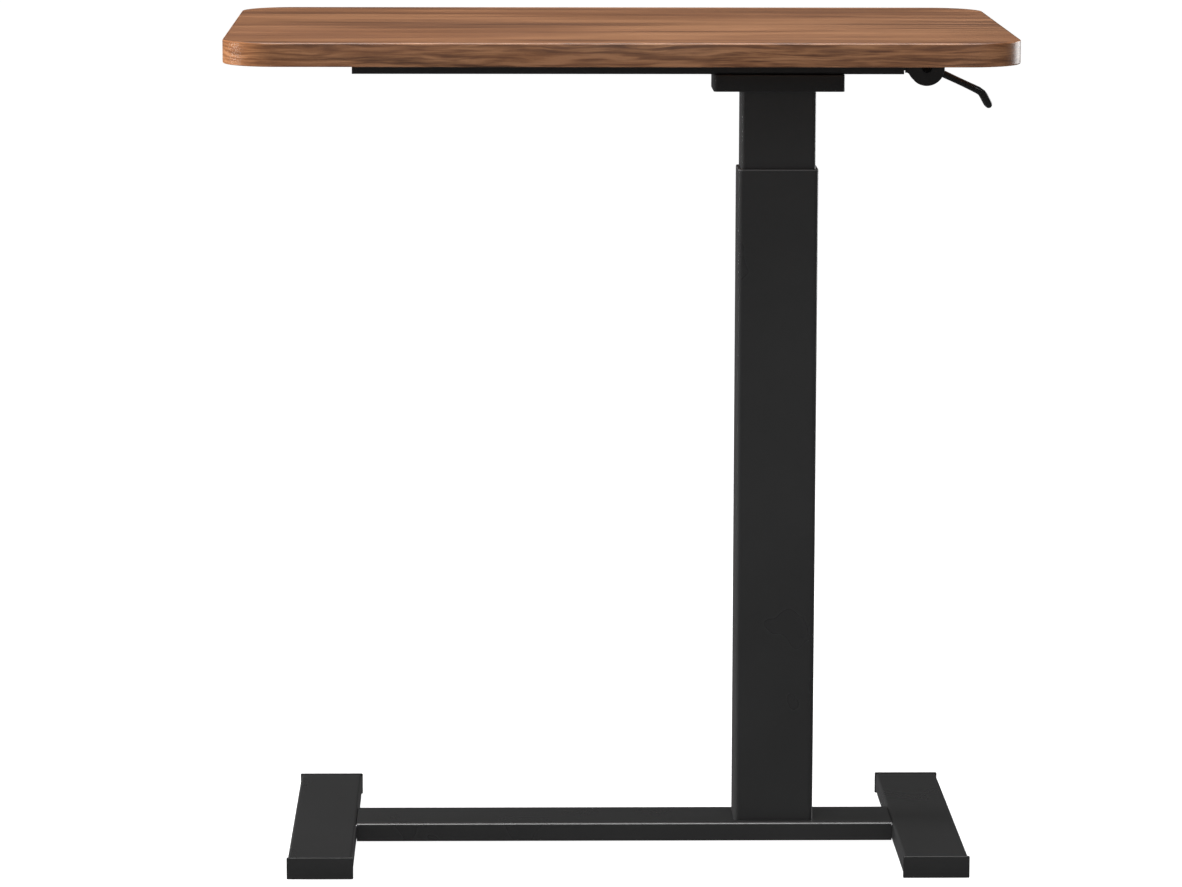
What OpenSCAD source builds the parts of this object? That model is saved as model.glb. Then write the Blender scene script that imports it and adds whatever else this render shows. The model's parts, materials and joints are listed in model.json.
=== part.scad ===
// Single-column standing desk, raised and lowered by a lockable gas spring.
// Millimetres, +Z up, the user sits at -Y. The origin is on the floor, under
// the middle of the desktop. The inner column is drawn part way out.

/* [Desktop] */
// Width of the desktop
desktop_w = 800; // [760:10:900]
// Depth of the desktop
desktop_d = 500; // [440:10:600]
// Thickness of the desktop
desktop_t = 24; // [20:1:30]
// Radius of the desktop's four corners, seen from above
desktop_corner_r = 55; // [30:5:80]
// Radius that eases the desktop's upper and lower edges
desktop_edge_r = 1.5; // [1:0.5:4]

/* [Base] */
// Distance between the middles of the two feet
foot_spacing = 635.2; // [600:0.2:660]
// How far the middle of the base lies to the right of the desktop's middle
base_x = 9.5; // [-10:0.5:20]
// Width of a foot's tube
foot_w = 66.6; // [60:0.2:76]
// Height of a foot's tube
foot_h = 21; // [20:0.5:26]
// Length of a foot's tube, without its end caps
foot_len = 382; // [340:2:440]
// Thickness of the rubber pads under the feet
pad_h = 4; // [3.5:0.5:6]
// Depth of the crossbar, front to back
crossbar_d = 74.5; // [72:0.5:84]
// Height of the crossbar
crossbar_h = 20.2; // [19:0.1:20.6]

/* [Column] */
// Where the column stands, to the right of the desktop's middle
column_x = 167.6; // [120:0.2:180]
// Width of the outer column
outer_w = 84; // [82:1:92]
// Depth of the outer column
outer_d = 56; // [54:1:64]
// Length of the outer column
outer_len = 693.2; // [640:0.1:700]
// Length of inner column that shows above the collar
column_out = 81.4; // [6.4:0.5:406.4]
// Length of the inner column
inner_len = 695; // [660:5:710]
// Wall of both columns
column_wall = 2; // [1.5:0.5:2]

/* [Top frame] */
// Width of the mounting plate on the inner column
plate_w = 136.5; // [132:0.5:150]
// Depth of the mounting plate
plate_d = 63; // [60:1:70]
// Height of the mounting plate's folded skirt
plate_skirt = 18; // [14:1:24]
// Length of the channel under the desktop
channel_len = 571; // [560:1:580]
// Depth of the channel between its outer walls
channel_d = 58; // [56:1:62]
// Height of the channel
channel_h = 25.6; // [25:0.1:26]
// Width of the channel's two screw flanges
flange_w = 21; // [16:1:30]

/* [Release lever] */
// Distance from the column's middle to the lever's pivot
lever_reach = 154.4; // [150:0.2:160]
// Radius of the lever housing's round lower edge
housing_r = 18.6; // [18:0.2:21]
// Width of the lever's arm, front to back
lever_w = 24; // [18:1:26]
// How far the lever swings up, in degrees
lever_swing = 16; // [10:1:18]

/* [Hidden] */

$fn = 64;
cut = 1;            // how far a cutter runs past the face that it cuts
fit_gap = 0.05;     // radial clearance of a running fit
snug_gap = 0.02;    // radial clearance of parts that are fixed together
frame_black = [0.11, 0.11, 0.12];
plastic_black = [0.06, 0.06, 0.065];
zinc = [0.72, 0.73, 0.75];
black_oxide = [0.10, 0.10, 0.105];
walnut = [0.42, 0.26, 0.17];

// Feet and crossbar
tube_wall = 2;
tube_r = 3;
foot_mid_z = pad_h + foot_h / 2;
left_foot_x = base_x - foot_spacing / 2;
right_foot_x = base_x + foot_spacing / 2;
cap_proud = 1;          // how far a cap's rim stands out from its tube
cap_t = 2.7;
cap_plug_len = 14;
cap_corner_r = 1;
seam = 0.4;             // shadow gap between the crossbar and a foot
crossbar_x0 = left_foot_x + foot_w / 2 + seam;
crossbar_x1 = right_foot_x - foot_w / 2 - seam;
crossbar_top_z = foot_mid_z + crossbar_h / 2;
crossbar_inner_top_z = crossbar_top_z - tube_wall;
joiner_d = crossbar_d - 2 * tube_wall - 1;
joiner_h = crossbar_h - 2 * tube_wall - 0.8;
joiner_wall = 3;
joiner_reach = 55;      // how far a joiner goes into each of its two tubes
joiner_bolt_y = 15.5;
joiner_bolt_x = 28;     // from the joiner's middle to its bolts
m6_r = 2.95;
m6_head_r = 5.5;
m6_head_h = 2.8;
pad_r = 11;
pad_y = foot_len / 2 - 26;
pad_stem_r = 3;

// Columns and their glides
outer_r = 5;
outer_top_z = crossbar_top_z + outer_len;
lip_t = 1.2;            // the upper glide's rim, on top of the outer column
collar_z = outer_top_z + lip_t;
inner_w = outer_w - 6;
inner_d = outer_d - 6;
inner_r = 4;
glide_h = 68;
base_plate_t = 8;
base_plate_top_z = crossbar_top_z + base_plate_t;
column_bolt_x = 28;
column_bolt_y = 15;
m8_r = 3.95;
m8_head_r = 6.5;
m8_head_h = 8;
m8_nut_af = 13;

// Mounting plate, channel and desktop, from the collar up
sheet = 3;
channel_wall = 2;
skirt_z = collar_z + column_out;
channel_z = skirt_z + plate_skirt;
plate_under_z = channel_z - sheet;
channel_floor_z = channel_z + channel_wall;
desktop_z = channel_z + channel_h;
desktop_top_z = desktop_z + desktop_t;
channel_mid_x = base_x + 2.3;
end_cap_t = 2;
channel_x1 = channel_mid_x + channel_len / 2;
channel_x0 = channel_x1 - channel_len;
plate_bolt_x = 52;
plate_bolt_y = 18;
button_head_r = 7;
button_head_h = 4.4;
screw_head_r = 4.2;
screw_head_h = 2.6;
screw_r = 2.1;
screw_bite = 14;        // length of a wood screw inside the desktop
flange_screw_y = channel_d / 2 + flange_w / 2;
flange_screw_xs = [-245, -95, 60, 265];
inner_z0 = plate_under_z - inner_len;

// Gas spring
cylinder_r = 14;
cylinder_bore_r = 12.5;
cylinder_top_z = 640;
plug_h = 13;
stud_r = 4.95;
stud_len = 19;
m10_nut_af = 17;
m10_nut_h = 8;
gland_h = 16;
rod_r = 5;
rod_bore_r = 2.5;
rod_top_z = channel_floor_z + 5.6;
rod_len = 554;
piston_h = 16;
pin_r = 2.4;
pin_stands_out = 4.5;   // the release pin's end above the rod
lock_nut_h = 6;

// Release linkage. A crank pin starts half its swing before the top of its circle.
link_pin_r = 2;
lever_crank = 11;
rocker_crank = 9;
lever_x = column_x + lever_reach;
lever_z = channel_floor_z + 3.6;
lever_pin_x = lever_x + lever_crank * sin(lever_swing / 2);
link_z = lever_z + lever_crank * cos(lever_swing / 2);
rocker_half_swing = asin(lever_crank * sin(lever_swing / 2) / rocker_crank);
rocker_x = column_x + 10;
rocker_z = link_z - rocker_crank * cos(rocker_half_swing);
rocker_pin_x = rocker_x + rocker_crank * sin(rocker_half_swing);
rocker_hub_r = 4;
rocker_w = 9.4;
nose_r = 2.5;
nose_gap = 0.3;         // between the rocker's nose and the release pin
nose_x = column_x + 0.8;
nose_z = rod_top_z + pin_stands_out + nose_gap + nose_r;
link_half_h = 3.7;
link_t = 2;
link_hole_r = 2.3;
slot_w = 3;
ear_t = 3;
ear_gap = 10;           // between the release head's two ears

// Lever and its housing
hub_r = 12.5;
hub_w = 16;
hub_ear_r = 4;
arm_root = [12, -4.2];  // the arm's points, from the lever's pivot
arm_bend = [58.5, -25.8];
arm_tip = [66, -39];
arm_r = 3.6;
tip_r = 4.1;
pivot_r = 3;
pivot_head_r = 5;
pivot_head_h = 2.4;
cheek_t = 2.5;
housing_w = 34;
housing_plate_t = 3;
housing_left = 22.6;    // from the pivot to the housing's left edge
ear_reach = 13;         // the housing's screw ears, past its cheeks
shoulder_z = -4.6;
spring_wire_r = 0.6;
spring_coil_r = 6.3;
spring_pitch = 1.25;
spring_start = 62;      // where the wire joins the coil, in degrees round it
spring_end = 1440;
arm_leg = 11;           // the leg that lies on the lever's arm
plate_leg = 15.5;       // the leg that reaches up to the housing's plate

// ---- Shapes that repeat ----

module rounded_rect(w, d, r) {
    square([w - 2 * r, d], center = true);
    square([w, d - 2 * r], center = true);
    for (x = [-1, 1], y = [-1, 1])
        translate([x * (w / 2 - r), y * (d / 2 - r)]) circle(r);
}

module tube_section(w, d, r, wall) {
    difference() {
        rounded_rect(w, d, r);
        rounded_rect(w - 2 * wall, d - 2 * wall, max(r - wall, 0.5));
    }
}

// Extrudes a section along an axis, between two places on it
module along_x(x0, x1) {
    translate([x0, 0, 0]) rotate([90, 0, 90]) linear_extrude(x1 - x0) children();
}

module along_y(y0, y1) {
    translate([0, y1, 0]) rotate([90, 0, 0]) linear_extrude(y1 - y0) children();
}

module along_z(z0, z1) {
    translate([0, 0, z0]) linear_extrude(z1 - z0) children();
}

module rod_y(x, z, r, y0, y1) {
    translate([x, y1, z]) rotate([90, 0, 0]) cylinder(r = r, h = y1 - y0);
}

module rod_z(x, y, r, z0, z1) {
    translate([x, y, z0]) cylinder(r = r, h = z1 - z0);
}

// A bar with round ends between two points of a section
module capsule(a, b, r) {
    d = b - a;
    translate(a) circle(r);
    translate(b) circle(r);
    translate(a) rotate(atan2(d[1], d[0])) translate([0, -r]) square([norm(d), 2 * r]);
}

module hex_nut(x, y, z0, z1, across_flats, bore_r) {
    difference() {
        translate([x, y, z0]) cylinder(r = across_flats / 2 / cos(30), h = z1 - z0, $fn = 6);
        rod_z(x, y, bore_r, z0 - cut, z1 + cut);
    }
}

// A round-headed screw that points up: its head is below z
module screw_up(x, y, z, head_r, head_h, shank_r, shank_len) {
    rod_z(x, y, head_r, z - head_h, z);
    rod_z(x, y, shank_r, z - head_h / 2, z + shank_len);
}

// Repeats its children at the four corners of a rectangle
module at_corners(x, y, dx, dy) {
    for (sx = [-1, 1], sy = [-1, 1])
        translate([x + sx * dx, y + sy * dy, 0]) children();
}

// ---- Desktop and top frame ----

// Half of the desktop's section: from its middle plane to its eased edge
module desktop_edge(reach) {
    e = desktop_edge_r;
    square([reach - e, desktop_t]);
    translate([0, e]) square([reach, desktop_t - 2 * e]);
    for (z = [e, desktop_t - e])
        translate([reach - e, z]) circle(e);
}

module desktop_blank() {
    r = desktop_corner_r;
    half_w = desktop_w / 2 - r;
    half_d = desktop_d / 2 - r;
    translate([-half_w, -half_d, 0]) cube([2 * half_w, 2 * half_d, desktop_t]);
    for (turn = [0, 180]) rotate(turn) {
        translate([half_w, half_d, 0]) rotate([90, 0, 0]) linear_extrude(2 * half_d) desktop_edge(r);
        translate([-half_w, half_d, 0]) rotate([90, 0, 90]) linear_extrude(2 * half_w) desktop_edge(r);
        translate([half_w, half_d, 0]) rotate_extrude(angle = 90) desktop_edge(r);
        translate([-half_w, half_d, 0]) rotate(90) rotate_extrude(angle = 90) desktop_edge(r);
    }
}

module desktop() {
    color(walnut) difference() {
        translate([0, 0, desktop_z]) desktop_blank();
        for (x = flange_screw_xs, y = [-flange_screw_y, flange_screw_y])
            rod_z(x, y, screw_r + fit_gap, desktop_z - cut, desktop_z + screw_bite + 1);
        housing_screw_places()
            rod_z(0, 0, screw_r + fit_gap, desktop_z - cut, desktop_z + screw_bite + 1);
    }
}

// The channel's section, looking along X: a tray with two screw flanges
module channel_section() {
    difference() {
        translate([0, desktop_z]) rounded_rect(channel_d, 2 * channel_h, 2.5);
        translate([0, desktop_z])
            rounded_rect(channel_d - 2 * channel_wall, 2 * (channel_h - channel_wall), 0.8);
        translate([-channel_d, desktop_z]) square([2 * channel_d, 2 * channel_h]);
    }
    for (side = [-1, 1])
        translate([side * (channel_d + flange_w) / 2 - flange_w / 2, desktop_z - channel_wall])
            square([flange_w, channel_wall]);
}

module channel() {
    color(frame_black) difference() {
        along_x(channel_x0, channel_x1) channel_section();
        rod_z(column_x, 0, rod_r + 0.2, channel_z - cut, channel_floor_z + cut);
        at_corners(column_x, 0, plate_bolt_x, plate_bolt_y)
            rod_z(0, 0, m8_r + 0.3, channel_z - cut, channel_floor_z + cut);
        for (x = flange_screw_xs, y = [-flange_screw_y, flange_screw_y])
            rod_z(x, y, screw_r + 0.3, desktop_z - channel_wall - cut, desktop_z + cut);
    }
}

module channel_end_cap() {
    plug_w = channel_d - 2 * channel_wall - 0.4;
    plug_h = channel_h - channel_wall - 0.6;
    color(plastic_black) {
        translate([channel_x0 - end_cap_t, -channel_d / 2 + 0.2, channel_z + 0.2])
            cube([end_cap_t, channel_d - 0.4, channel_h - 0.4]);
        difference() {
            translate([channel_x0 - end_cap_t, -plug_w / 2, channel_floor_z + 0.2])
                cube([end_cap_t + 12, plug_w, plug_h]);
            translate([channel_x0, -plug_w / 2 + 2, channel_floor_z + 2.2])
                cube([12 + cut, plug_w - 4, plug_h - 4]);
        }
    }
}

module desktop_screws() {
    color(zinc)
        for (x = flange_screw_xs, y = [-flange_screw_y, flange_screw_y])
            screw_up(x, y, desktop_z - channel_wall, screw_head_r, screw_head_h,
                     screw_r, channel_wall + screw_bite);
}

// A pressed plate with its edges folded down, welded on the inner column
module mounting_plate() {
    color(frame_black) translate([column_x, 0, 0]) difference() {
        along_z(skirt_z, channel_z) rounded_rect(plate_w, plate_d, 4);
        along_z(skirt_z - cut, plate_under_z)
            rounded_rect(plate_w - 2 * sheet, plate_d - 2 * sheet, 1.5);
        rod_z(0, 0, rod_r + 0.2, plate_under_z - cut, channel_z + cut);
        at_corners(0, 0, plate_bolt_x, plate_bolt_y)
            rod_z(0, 0, m8_r + 0.3, plate_under_z - cut, channel_z + cut);
    }
}

module mounting_bolts() {
    color(zinc) at_corners(column_x, 0, plate_bolt_x, plate_bolt_y) {
        rod_z(0, 0, button_head_r, channel_floor_z, channel_floor_z + button_head_h);
        rod_z(0, 0, m8_r, plate_under_z - 8.5, channel_floor_z + cut);
    }
}

module mounting_nuts() {
    color(zinc)
        for (x = [-plate_bolt_x, plate_bolt_x], y = [-plate_bolt_y, plate_bolt_y])
            hex_nut(column_x + x, y, plate_under_z - 6.5, plate_under_z, m8_nut_af, m8_r + snug_gap);
}

// ---- Columns and glides ----

module inner_column() {
    color(frame_black) translate([column_x, 0, 0])
        along_z(inner_z0, plate_under_z) tube_section(inner_w, inner_d, inner_r, column_wall);
}

// A plastic shoe on the inner column's lower end, which slides in the outer one
module lower_glide() {
    shoe_w = outer_w - 2 * column_wall - 2 * fit_gap;
    shoe_d = outer_d - 2 * column_wall - 2 * fit_gap;
    color(plastic_black) translate([column_x, 0, 0]) difference() {
        along_z(inner_z0 - 8, inner_z0 + glide_h) rounded_rect(shoe_w, shoe_d, outer_r - column_wall);
        along_z(inner_z0, inner_z0 + glide_h + cut)
            rounded_rect(inner_w + 2 * snug_gap, inner_d + 2 * snug_gap, inner_r);
        along_z(inner_z0 - 8 - cut, inner_z0 + cut) rounded_rect(inner_w - 8, inner_d - 8, 3);
    }
}

// A plastic liner in the outer column's mouth, with a thin rim on top of it
module upper_glide() {
    liner_w = outer_w - 2 * column_wall - 2 * snug_gap;
    liner_d = outer_d - 2 * column_wall - 2 * snug_gap;
    color(plastic_black) translate([column_x, 0, 0]) difference() {
        union() {
            along_z(outer_top_z - glide_h, collar_z)
                rounded_rect(liner_w, liner_d, outer_r - column_wall);
            along_z(outer_top_z, collar_z) rounded_rect(outer_w - 0.4, outer_d - 0.4, outer_r - 0.2);
        }
        along_z(outer_top_z - glide_h - cut, collar_z + cut)
            rounded_rect(inner_w + 2 * fit_gap, inner_d + 2 * fit_gap, inner_r);
    }
}

module outer_column() {
    color(frame_black) translate([column_x, 0, 0])
        along_z(crossbar_top_z, outer_top_z) tube_section(outer_w, outer_d, outer_r, column_wall);
}

module column_base_plate() {
    plate_gap = 0.2;
    color(frame_black) translate([column_x, 0, 0]) difference() {
        along_z(crossbar_top_z, base_plate_top_z)
            rounded_rect(outer_w - 2 * column_wall - 2 * plate_gap,
                         outer_d - 2 * column_wall - 2 * plate_gap, outer_r - column_wall);
        rod_z(0, 0, stud_r + 0.2, crossbar_top_z - cut, base_plate_top_z + cut);
        at_corners(0, 0, column_bolt_x, column_bolt_y)
            rod_z(0, 0, m8_r + snug_gap, crossbar_top_z - cut, base_plate_top_z + cut);
    }
}

module column_bolts() {
    color(zinc) at_corners(column_x, 0, column_bolt_x, column_bolt_y)
        screw_up(0, 0, crossbar_inner_top_z, m8_head_r, m8_head_h, m8_r, tube_wall + base_plate_t - cut);
}

// ---- Base ----

module crossbar() {
    below_z = foot_mid_z - crossbar_h / 2;
    color(frame_black) difference() {
        along_x(crossbar_x0, crossbar_x1) translate([0, foot_mid_z])
            tube_section(crossbar_d, crossbar_h, tube_r, tube_wall);
        rod_z(column_x, 0, stud_r + 0.3, foot_mid_z, crossbar_top_z + cut);
        rod_z(column_x, 0, 13, below_z - cut, foot_mid_z);
        at_corners(column_x, 0, column_bolt_x, column_bolt_y) {
            rod_z(0, 0, m8_r + 0.3, foot_mid_z, crossbar_top_z + cut);
            rod_z(0, 0, m8_head_r + 1, below_z - cut, foot_mid_z);
        }
        for (x = [crossbar_x0 - seam + joiner_bolt_x, crossbar_x1 + seam - joiner_bolt_x],
             y = [-joiner_bolt_y, joiner_bolt_y])
            rod_z(x, y, m6_r + 0.3, below_z - cut, foot_mid_z);
    }
}

// Steel sleeve that joins the crossbar to a foot; x is the foot's inner face
module joiner(x) {
    color(zinc) difference() {
        along_x(x - joiner_reach, x + joiner_reach) translate([0, foot_mid_z])
            tube_section(joiner_d, joiner_h, 2, joiner_wall);
        at_corners(x, 0, joiner_bolt_x, joiner_bolt_y)
            rod_z(0, 0, m6_r + 0.3, foot_mid_z - joiner_h, foot_mid_z);
    }
}

module left_joiner() {
    joiner(crossbar_x0 - seam);
}

module right_joiner() {
    joiner(crossbar_x1 + seam);
}

// Joiner bolts come up from below, through a foot's floor or the crossbar's
module joiner_bolts() {
    color(zinc)
        for (end = [-1, 1], side = [-1, 1], y = [-joiner_bolt_y, joiner_bolt_y]) {
            face_x = end < 0 ? crossbar_x0 - seam : crossbar_x1 + seam;
            in_foot = end == side;
            z = in_foot ? pad_h : foot_mid_z - crossbar_h / 2;
            screw_up(face_x + side * joiner_bolt_x, y, z, m6_head_r, m6_head_h, m6_r, 11);
        }
}

module joiner_nuts() {
    z = foot_mid_z - joiner_h / 2 + joiner_wall;
    color(zinc)
        for (x = [crossbar_x0 - seam, crossbar_x1 + seam], side = [-1, 1], y = [-1, 1])
            hex_nut(x + side * joiner_bolt_x, y * joiner_bolt_y, z, z + 5, 10, m6_r + snug_gap);
}

// Foot tube; inward is +1 if the crossbar is on its right and -1 if on its left
module foot(x, inward) {
    color(frame_black) difference() {
        along_y(-foot_len / 2, foot_len / 2) translate([x, foot_mid_z])
            tube_section(foot_w, foot_h, tube_r, tube_wall);
        translate([x + inward * foot_w / 2 - 2 * tube_wall, -joiner_d / 2 - 0.3,
                   foot_mid_z - joiner_h / 2 - 0.3])
            cube([4 * tube_wall, joiner_d + 0.6, joiner_h + 0.6]);
        for (y = [-joiner_bolt_y, joiner_bolt_y])
            rod_z(x + inward * (foot_w / 2 - joiner_bolt_x), y, m6_r + 0.3, pad_h - cut, foot_mid_z);
        for (y = [-pad_y, pad_y])
            rod_z(x, y, pad_stem_r + snug_gap, pad_h - cut, foot_mid_z);
    }
}

module left_foot() {
    foot(left_foot_x, 1);
}

module right_foot() {
    foot(right_foot_x, -1);
}

// Moulded cap with a hollow plug; end is -1 at the front and +1 at the rear
module foot_cap(x, end) {
    w = foot_w + 2 * cap_proud;
    h = foot_h + 1.8;
    color(plastic_black) translate([x, end * foot_len / 2, 0]) rotate(end > 0 ? 180 : 0) {
        along_y(-cap_t, 0) translate([0, foot_mid_z]) rounded_rect(w, h, cap_corner_r);
        along_y(-cap_t / 2, cap_plug_len) translate([0, foot_mid_z])
            tube_section(foot_w - 2 * tube_wall - 0.4, foot_h - 2 * tube_wall - 0.4, 1, 2);
    }
}

module left_front_cap() {
    foot_cap(left_foot_x, -1);
}

module left_rear_cap() {
    foot_cap(left_foot_x, 1);
}

module right_front_cap() {
    foot_cap(right_foot_x, -1);
}

module right_rear_cap() {
    foot_cap(right_foot_x, 1);
}

module foot_pads() {
    color([0.1, 0.1, 0.1])
        for (x = [left_foot_x, right_foot_x], y = [-pad_y, pad_y]) {
            rod_z(x, y, pad_r, 0, pad_h);
            rod_z(x, y, pad_stem_r, pad_h / 2, pad_h + 3);
        }
}

// ---- Gas spring, fixed to the base by its cylinder and to the top by its rod ----

module gas_spring_cylinder() {
    lid_t = 2;
    color([0.09, 0.09, 0.1]) difference() {
        rod_z(column_x, 0, cylinder_r, base_plate_top_z, cylinder_top_z);
        rod_z(column_x, 0, cylinder_bore_r, base_plate_top_z - cut, cylinder_top_z - lid_t);
        rod_z(column_x, 0, rod_r + 1, cylinder_top_z - lid_t - cut, cylinder_top_z + cut);
    }
}

module gas_spring_end_plug() {
    color(zinc) {
        rod_z(column_x, 0, cylinder_bore_r - snug_gap, base_plate_top_z, base_plate_top_z + plug_h);
        rod_z(column_x, 0, stud_r, base_plate_top_z - stud_len, base_plate_top_z + cut);
    }
}

module gas_spring_nut() {
    color(zinc)
        hex_nut(column_x, 0, crossbar_inner_top_z - m10_nut_h, crossbar_inner_top_z,
                m10_nut_af, stud_r + snug_gap);
}

module gas_spring_gland() {
    z1 = cylinder_top_z - 2;
    color([0.15, 0.15, 0.15]) difference() {
        rod_z(column_x, 0, cylinder_bore_r - snug_gap, z1 - gland_h, z1);
        rod_z(column_x, 0, rod_r + fit_gap, z1 - gland_h - cut, z1 + cut);
    }
}

module gas_spring_rod() {
    color(zinc) difference() {
        rod_z(column_x, 0, rod_r, rod_top_z - rod_len, rod_top_z);
        rod_z(column_x, 0, rod_bore_r, rod_top_z - rod_len - cut, rod_top_z + cut);
    }
}

module gas_spring_piston() {
    z0 = rod_top_z - rod_len - 4;
    color(zinc) difference() {
        rod_z(column_x, 0, cylinder_bore_r - 2 * fit_gap, z0, z0 + piston_h);
        rod_z(column_x, 0, rod_r + snug_gap, z0 + 4, z0 + piston_h + cut);
        rod_z(column_x, 0, rod_bore_r, z0 - cut, z0 + piston_h);
    }
}

module rod_lock_nut() {
    color(zinc)
        hex_nut(column_x, 0, plate_under_z - lock_nut_h, plate_under_z, m10_nut_af, rod_r + snug_gap);
}

// The valve pin that runs down inside the hollow rod
module release_pin() {
    color([0.55, 0.56, 0.58])
        rod_z(column_x, 0, pin_r, rod_top_z - rod_len + 4, rod_top_z + pin_stands_out);
}

// ---- Release linkage: lever, push link, rocker ----

// Threaded block on the rod's end, with two ears that carry the rocker
module release_head() {
    block_x0 = column_x - 8;
    ear_w = ear_gap + 2 * ear_t;
    color(zinc) difference() {
        union() {
            translate([block_x0, -ear_w / 2, channel_floor_z]) cube([13, ear_w, rod_top_z - channel_floor_z]);
            translate([block_x0, -ear_w / 2, channel_floor_z]) cube([rocker_x + 5 - block_x0, ear_w, 1]);
            for (y = [-ear_w / 2, ear_gap / 2])
                along_y(y, y + ear_t) {
                    translate([block_x0, channel_floor_z])
                        square([rocker_x - block_x0, rocker_z + 5 - channel_floor_z]);
                    translate([rocker_x, channel_floor_z]) square([5, rocker_z - channel_floor_z]);
                    translate([rocker_x, rocker_z]) circle(5);
                }
        }
        rod_z(column_x, 0, rod_r + snug_gap, channel_floor_z - cut, rod_top_z + cut);
        rod_y(rocker_x, rocker_z, link_pin_r + snug_gap, -ear_w, ear_w);
    }
}

module rocker_pin() {
    half = ear_gap / 2 + ear_t;
    color(zinc) rod_y(rocker_x, rocker_z, link_pin_r, -half, half);
}

// Bell crank: the link pushes its upper end, and its nose presses the pin
module rocker() {
    pivot = [rocker_x, rocker_z];
    crank_end = [rocker_pin_x, link_z];
    color(zinc) difference() {
        along_y(-rocker_w / 2, rocker_w / 2) {
            capsule(pivot, crank_end, 3.5);
            translate(pivot) circle(rocker_hub_r);
            capsule([nose_x, nose_z], [rocker_x, nose_z], nose_r);
        }
        rod_y(rocker_x, rocker_z, link_pin_r + fit_gap, -rocker_w, rocker_w);
        rod_y(rocker_pin_x, link_z, link_pin_r + snug_gap, -rocker_w, rocker_w);
        translate([rocker_x - 7, -slot_w / 2, rocker_z + 3.3]) cube([16, slot_w, 12]);
    }
}

module rocker_link_pin() {
    color(zinc) rod_y(rocker_pin_x, link_z, link_pin_r, -rocker_w / 2, rocker_w / 2);
}

module push_link() {
    color(zinc) difference() {
        along_y(-link_t / 2, link_t / 2)
            capsule([rocker_pin_x, link_z], [lever_pin_x, link_z], link_half_h);
        for (x = [rocker_pin_x, lever_pin_x])
            rod_y(x, link_z, link_hole_r, -link_t, link_t);
    }
}

module lever_link_pin() {
    color(zinc) rod_y(lever_pin_x, link_z, link_pin_r, -hub_w / 2, hub_w / 2);
}

module lever() {
    pivot = [lever_x, lever_z];
    slot_z = link_z - link_half_h - 1.6;
    color(plastic_black) difference() {
        union() {
            along_y(-hub_w / 2, hub_w / 2) {
                translate(pivot) circle(hub_r);
                capsule(pivot, [lever_pin_x, link_z], hub_ear_r);
            }
            along_y(-lever_w / 2, lever_w / 2) {
                capsule(pivot + arm_root, pivot + arm_bend, arm_r);
                capsule(pivot + arm_bend, pivot + arm_tip, tip_r);
            }
        }
        rod_y(lever_x, lever_z, pivot_r + fit_gap, -hub_w, hub_w);
        rod_y(lever_pin_x, link_z, link_pin_r + snug_gap, -hub_w, hub_w);
        translate([lever_x - 20, -slot_w / 2, slot_z]) cube([28, slot_w, 20]);
    }
}

module lever_pivot_screw() {
    head_y = -housing_w / 2;
    color(black_oxide) {
        rod_y(lever_x, lever_z, pivot_head_r, head_y - pivot_head_h, head_y);
        rod_y(lever_x, lever_z, pivot_r, head_y - 1, housing_w / 2 + 1.5);
    }
}

// Points of the torsion spring's wire: a leg, the coil, and the other leg
coil_points = 54;
spring_y0 = hub_w / 2 + spring_wire_r + 0.25;
function coil_point(a) = [
    spring_coil_r * cos(a), spring_y0 + (a - spring_start) / 360 * spring_pitch, spring_coil_r * sin(a)
];
function coil_tangent(a) = [-sin(a), 0, cos(a)];
spring_path = concat(
    [coil_point(spring_start) - arm_leg * coil_tangent(spring_start)],
    [for (i = [0 : coil_points])
        coil_point(spring_start + i * (spring_end - spring_start) / coil_points)],
    [coil_point(spring_end) + plate_leg * coil_tangent(spring_end)]
);

// Sweeps a round wire along points whose bends all lie near the XZ plane
module wire(path, r, sides = 8) {
    n = len(path);
    rings = [for (i = [0 : n - 1])
        let (t = path[min(i + 1, n - 1)] - path[max(i - 1, 0)],
             v = cross([0, 1, 0], t) / norm(cross([0, 1, 0], t)),
             u = cross(t, v) / norm(cross(t, v)))
        [for (k = [0 : sides - 1])
            path[i] + r * cos(k * 360 / sides) * u + r * sin(k * 360 / sides) * v]];
    points = [for (ring = rings) for (p = ring) p];
    walls = [for (i = [0 : n - 2], k = [0 : sides - 1])
        [i * sides + k, i * sides + (k + 1) % sides,
         (i + 1) * sides + (k + 1) % sides, (i + 1) * sides + k]];
    first = [for (k = [sides - 1 : -1 : 0]) k];
    last = [for (k = [0 : sides - 1]) (n - 1) * sides + k];
    polyhedron(points, concat([first], walls, [last]));
}

module lever_spring() {
    color([0.5, 0.5, 0.52]) translate([lever_x, 0, lever_z]) wire(spring_path, spring_wire_r);
}

// The housing's cheek: a half disc whose left side flares out to a shoulder
module cheek_outline() {
    translate([lever_x, lever_z]) circle(housing_r);
    translate([lever_x - housing_r, lever_z])
        square([2 * housing_r, desktop_z - lever_z]);
    polygon([
        [lever_x - housing_left, desktop_z],
        [lever_x - housing_left, lever_z + shoulder_z + 0.4],
        [lever_x - housing_left + 3.6, lever_z + shoulder_z],
        [lever_x - 13.4, lever_z - 12.9],
        [lever_x, lever_z],
        [lever_x, desktop_z]
    ]);
}

module housing_screw_places() {
    at_corners(lever_x - 2, 0, 13, housing_w / 2 + ear_reach / 2) children();
}

module lever_housing() {
    half = housing_w / 2;
    color(frame_black) difference() {
        union() {
            for (y = [-half, half - cheek_t])
                along_y(y, y + cheek_t) cheek_outline();
            translate([lever_x - housing_left, -half - ear_reach, desktop_z - housing_plate_t])
                cube([housing_left + housing_r, housing_w + 2 * ear_reach, housing_plate_t]);
        }
        rod_y(lever_x, lever_z, pivot_r + snug_gap, -housing_w, housing_w);
        housing_screw_places()
            rod_z(0, 0, screw_r + 0.3, desktop_z - housing_plate_t - cut, desktop_z + cut);
    }
}

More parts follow.
